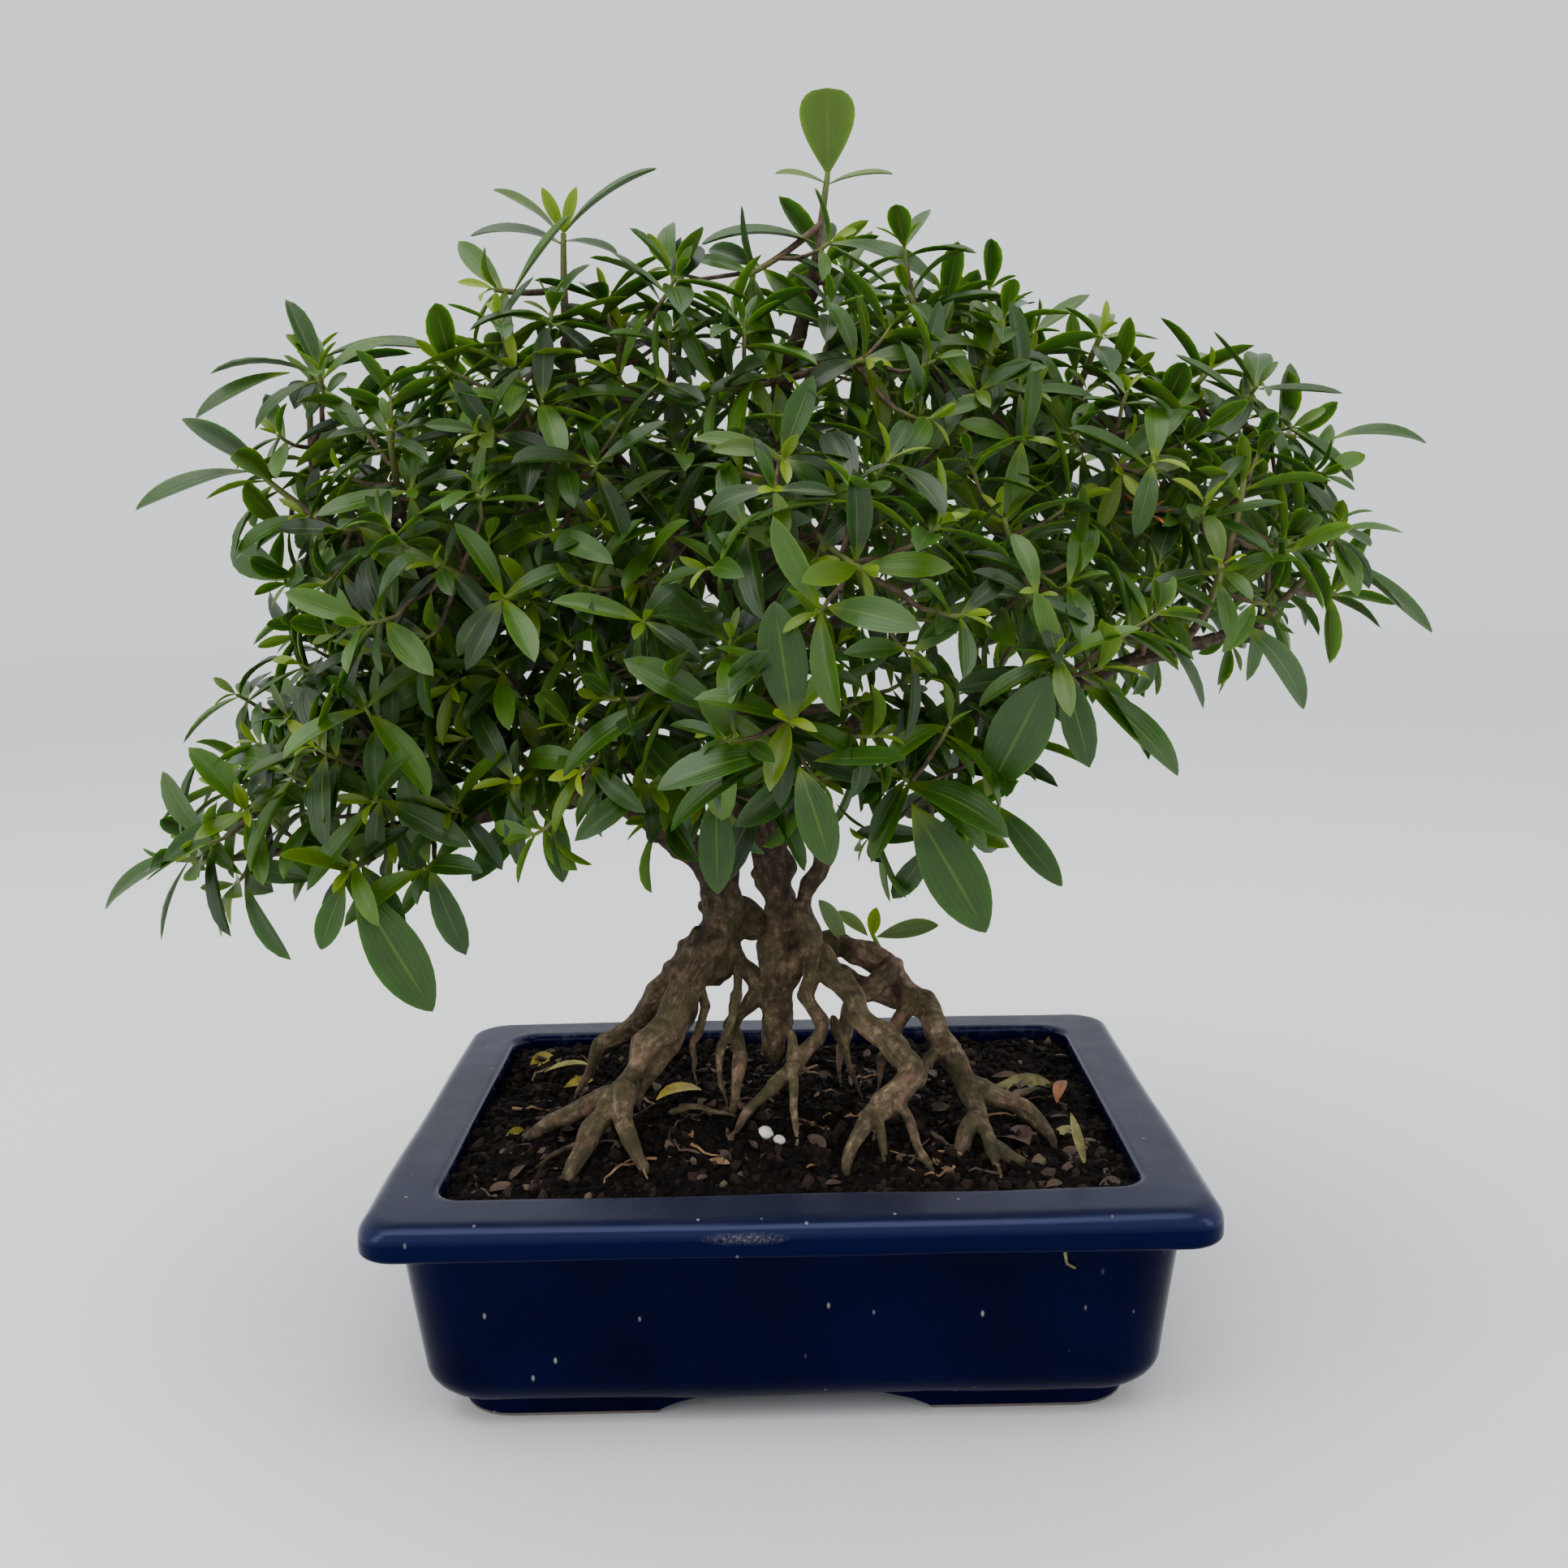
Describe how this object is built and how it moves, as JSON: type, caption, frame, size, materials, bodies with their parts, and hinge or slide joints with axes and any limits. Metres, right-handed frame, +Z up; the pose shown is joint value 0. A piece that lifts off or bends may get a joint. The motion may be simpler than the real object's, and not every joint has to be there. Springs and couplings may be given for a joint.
{
  "type": "bonsai tree in a pot",
  "caption": "Small broadleaf bonsai with exposed roots, twin trunks and a spreading leafy crown, growing in a glazed rectangular footed pot of dark soil.",
  "frame": {"origin": "under the middle of the tree's whole box, on the surface that the pot's feet stand on", "axes": "+X along the pot's long side, the tree's widest direction, +Y towards the back, +Z up; the front faces -Y"},
  "size_m": [0.3346, 0.2208, 0.3216],
  "materials": {
    "glaze": "gloss",
    "soil": "matte",
    "plastic_mesh": "satin",
    "bark": "matte",
    "foliage": "satin",
    "yellow_leaf": "satin",
    "lime_leaf": "satin",
    "orange_leaf": "satin",
    "brown_leaf": "matte",
    "pellet": "matte"
  },
  "bodies": {
    "root": {"centre_limb": "bark", "centre_shoot_1": "foliage", "centre_shoot_2": "foliage", "centre_shoot_3": "foliage", "centre_shoot_4": "foliage", "drain_mesh_left": "plastic_mesh", "drain_mesh_right": "plastic_mesh", "fallen_leaf_brown": "brown_leaf", "fallen_leaf_lime": "lime_leaf", "fallen_leaf_orange": "orange_leaf", "fallen_leaf_yellow": "yellow_leaf", "front_limb": "bark", "front_shoot_1": "foliage", "front_shoot_2": "foliage", "front_shoot_3": "foliage", "low_left_limb": "bark", "low_left_shoot_1": "foliage", "low_left_shoot_2": "foliage", "low_left_shoot_3": "foliage", "low_left_shoot_4": "foliage", "low_left_shoot_5": "foliage", "pellet_large": "pellet", "pellet_small": "pellet", "pot": "glaze", "rear_left_limb": "bark", "rear_left_shoot_1": "foliage", "rear_left_shoot_2": "foliage", "rear_limb": "bark", "rear_right_limb": "bark", "rear_right_shoot_1": "foliage", "rear_right_shoot_2": "foliage", "rear_right_shoot_3": "foliage", "rear_shoot_1": "foliage", "rear_shoot_2": "foliage", "rear_shoot_3": "foliage", "right_limb": "bark", "right_shoot_1": "foliage", "right_shoot_2": "foliage", "right_shoot_3": "foliage", "right_shoot_4": "foliage", "right_shoot_5": "foliage", "root_sucker": "foliage", "soil": "soil", "top_left_limb": "bark", "top_left_shoot_1": "foliage", "top_left_shoot_2": "foliage", "top_left_shoot_3": "foliage", "trunk_and_roots": "bark", "upper_left_limb": "bark", "upper_left_shoot_1": "foliage", "upper_left_shoot_2": "foliage", "upper_left_shoot_3": "foliage", "upper_left_shoot_4": "foliage", "upper_left_shoot_5": "foliage", "upper_left_shoot_6": "foliage", "upper_right_limb": "bark", "upper_right_shoot_1": "foliage", "upper_right_shoot_2": "foliage", "upper_right_shoot_3": "foliage", "upper_right_shoot_4": "foliage"}
  },
  "joints": []
}
